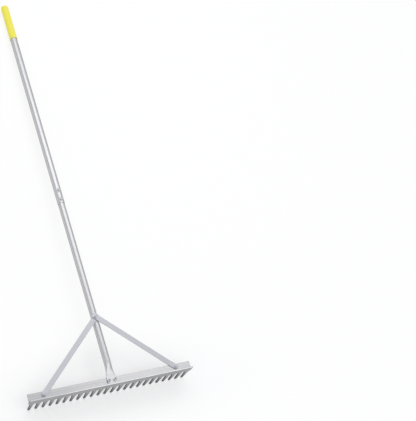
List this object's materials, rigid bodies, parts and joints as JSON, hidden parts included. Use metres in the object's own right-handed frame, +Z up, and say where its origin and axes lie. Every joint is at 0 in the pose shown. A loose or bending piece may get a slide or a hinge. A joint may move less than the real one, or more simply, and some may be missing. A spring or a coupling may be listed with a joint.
{
  "type": "landscape rake",
  "caption": "Wide landscape rake: a tined extruded head with a bolt flange, a two-part tube handle with a vinyl grip, and two flat braces, all bolted together.",
  "frame": {"origin": "middle of the bounding box on the ground, with the rake lying on its tine tips and the end of its grip", "axes": "+Y along the handle from the head to the grip, +Z up, +X to the right seen from behind the head looking to the grip"},
  "size_m": [0.6096, 1.6784, 0.103],
  "materials": {
    "head_aluminium": "satin mill finish",
    "lower_tube_aluminium": "satin drawn tube",
    "upper_tube_aluminium": "satin drawn tube",
    "yellow_vinyl": "smooth soft vinyl",
    "brace_steel": "zinc plated",
    "zinc_bolt": "zinc plated",
    "zinc_nut": "zinc plated",
    "nylon_ring": "plain nylon"
  },
  "bodies": {
    "root": {"rake_head": "head_aluminium", "lower_handle": "lower_tube_aluminium", "upper_handle": "upper_tube_aluminium", "end_grip": "yellow_vinyl", "left_brace": "brace_steel", "right_brace": "brace_steel", "left_foot_bolt": "zinc_bolt", "right_foot_bolt": "zinc_bolt", "left_brace_foot_bolt": "zinc_bolt", "right_brace_foot_bolt": "zinc_bolt", "brace_top_bolt": "zinc_bolt", "lower_splice_bolt": "zinc_bolt", "upper_splice_bolt": "zinc_bolt", "left_foot_nut": "zinc_nut", "right_foot_nut": "zinc_nut", "left_brace_foot_nut": "zinc_nut", "right_brace_foot_nut": "zinc_nut", "brace_top_nut": "zinc_nut", "lower_splice_nut": "zinc_nut", "upper_splice_nut": "zinc_nut", "left_foot_insert": "nylon_ring", "right_foot_insert": "nylon_ring", "left_brace_foot_insert": "nylon_ring", "right_brace_foot_insert": "nylon_ring", "brace_top_insert": "nylon_ring", "lower_splice_insert": "nylon_ring", "upper_splice_insert": "nylon_ring"}
  },
  "joints": []
}
